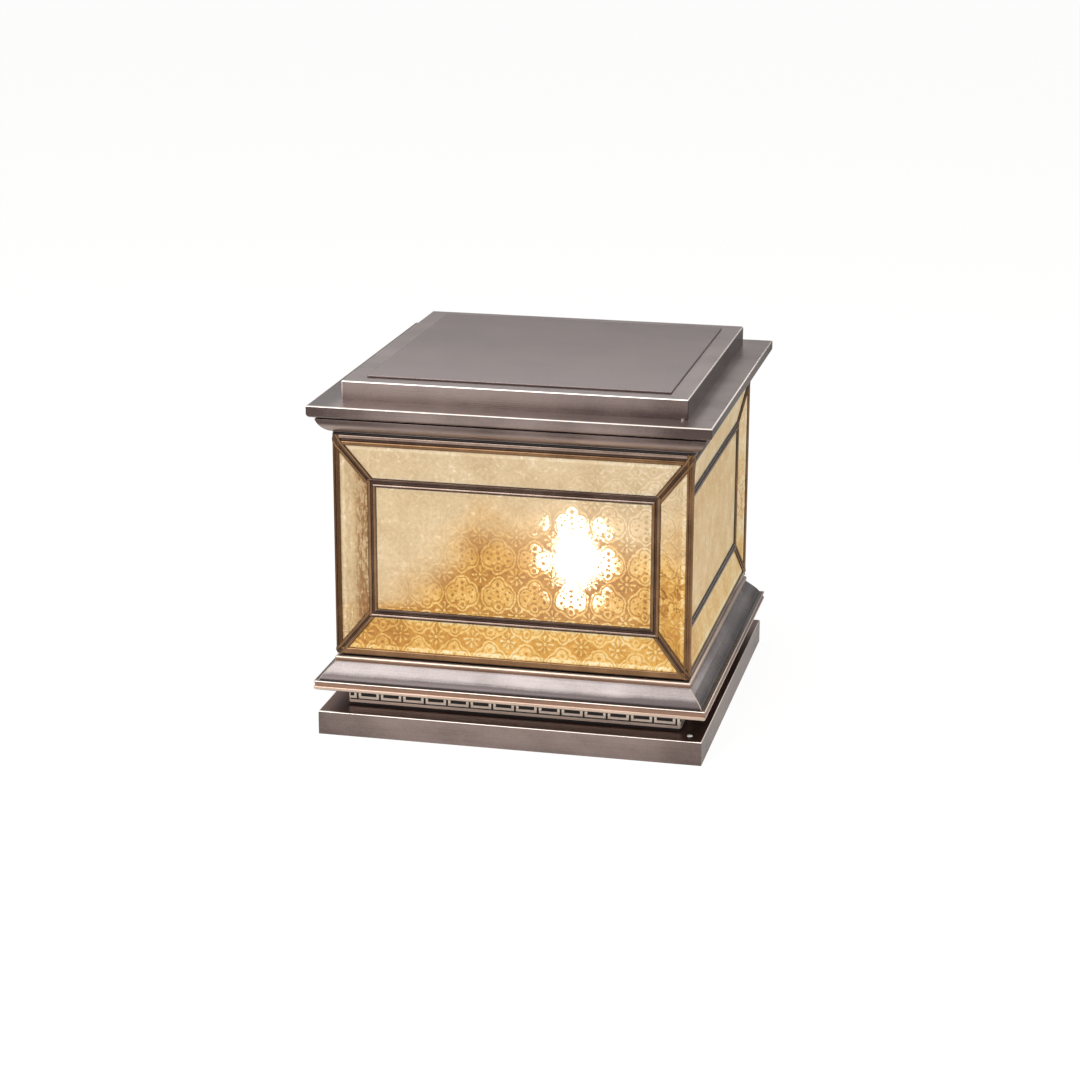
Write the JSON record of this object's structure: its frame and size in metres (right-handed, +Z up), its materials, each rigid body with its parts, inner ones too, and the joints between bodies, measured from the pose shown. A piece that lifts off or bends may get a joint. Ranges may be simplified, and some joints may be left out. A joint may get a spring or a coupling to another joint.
{
  "type": "solar pillar light",
  "caption": "Square bronze solar pillar light: stepped plinth with a key frieze, leaded amber glass lantern with a screw-in lamp, and a lift-off solar roof.",
  "frame": {"origin": "centre of the base's underside, where it stands on the pillar", "axes": "+Z up, -Y out of the front face, +X to the viewer's right"},
  "size_m": [0.3, 0.3, 0.2725],
  "materials": {
    "bronze": "satin antique bronze",
    "came_bronze": "dark patina",
    "frieze_dark": "dark patina",
    "frieze_line": "satin",
    "dark_sheet": "dark patina",
    "amber_glass": "figured",
    "rubber": "matt",
    "steel": "bright",
    "contact_metal": "bright",
    "white_plastic": "gloss",
    "lamp_diffuser": "frosted",
    "panel_glass": "gloss",
    "solar_cell": "dark blue",
    "dark_plastic": "matt",
    "cell_wrap": "sleeve",
    "board": "board"
  },
  "bodies": {
    "body": {"base_tray": "bronze", "frieze_box": "frieze_dark", "frieze_key": "frieze_line", "plinth_moulding": "bronze", "floor_plate": "dark_sheet", "tie_studs": "steel", "tie_nuts": "steel", "roof_gasket": "rubber", "lamp_holder": "white_plastic", "holder_contact": "contact_metal", "holder_screws": "steel", "front_left_post": "came_bronze", "front_right_post": "came_bronze", "back_right_post": "came_bronze", "back_left_post": "came_bronze", "front_came": "came_bronze", "right_came": "came_bronze", "back_came": "came_bronze", "left_came": "came_bronze", "front_bottom_pane": "amber_glass", "front_right_pane": "amber_glass", "front_top_pane": "amber_glass", "front_left_pane": "amber_glass", "front_centre_pane": "amber_glass", "right_bottom_pane": "amber_glass", "right_right_pane": "amber_glass", "right_top_pane": "amber_glass", "right_left_pane": "amber_glass", "right_centre_pane": "amber_glass", "back_bottom_pane": "amber_glass", "back_right_pane": "amber_glass", "back_top_pane": "amber_glass", "back_left_pane": "amber_glass", "back_centre_pane": "amber_glass", "left_bottom_pane": "amber_glass", "left_right_pane": "amber_glass", "left_top_pane": "amber_glass", "left_left_pane": "amber_glass", "left_centre_pane": "amber_glass"},
    "roof": {"crown_moulding": "bronze", "roof_lugs": "steel", "roof_slab": "bronze", "solar_housing": "bronze", "housing_screws": "steel", "panel_cover": "panel_glass", "cell_wafers": "solar_cell", "panel_backsheet": "dark_plastic", "junction_box": "dark_plastic", "battery_box": "dark_plastic", "hinge_pin": "steel", "battery_cells": "cell_wrap", "battery_contacts": "contact_metal", "controller_case": "dark_plastic", "controller_board": "board"},
    "battery_door": {"battery_door": "dark_plastic"},
    "push_button": {"push_button": "rubber"},
    "lamp_foot": {"bulb_contact": "contact_metal"},
    "lamp": {"bulb_cap": "steel", "bulb_skirt": "white_plastic", "bulb_globe": "lamp_diffuser"}
  },
  "joints": [
    {"name": "roof_lift", "type": "slide", "parent": "body", "child": "roof", "axis": [0, 0, 1], "range_m": [0, 0.12]},
    {"name": "battery_door_hinge", "type": "hinge", "parent": "roof", "child": "battery_door", "pos_m": [-0.058, 0.0536, 0.23325], "axis": [1, 0, 0], "range_deg": [0, 110]},
    {"name": "button_press", "type": "slide", "parent": "roof", "child": "push_button", "axis": [0, 0, 1], "range_m": [0, 0.002], "stiffness_N_per_m": 400},
    {"name": "lamp_rise", "type": "slide", "parent": "body", "child": "lamp_foot", "axis": [0, 0, 1], "range_m": [0, 0.0109]},
    {"name": "lamp_turn", "type": "hinge", "parent": "lamp_foot", "child": "lamp", "pos_m": [0.024, -0.02, 0.08], "axis": [0, 0, 1], "range_deg": [0, 1080]}
  ],
  "couplings": [
    {"joint": "lamp_rise", "follows": "lamp_turn", "m_per_rad": 0.00057296}
  ]
}
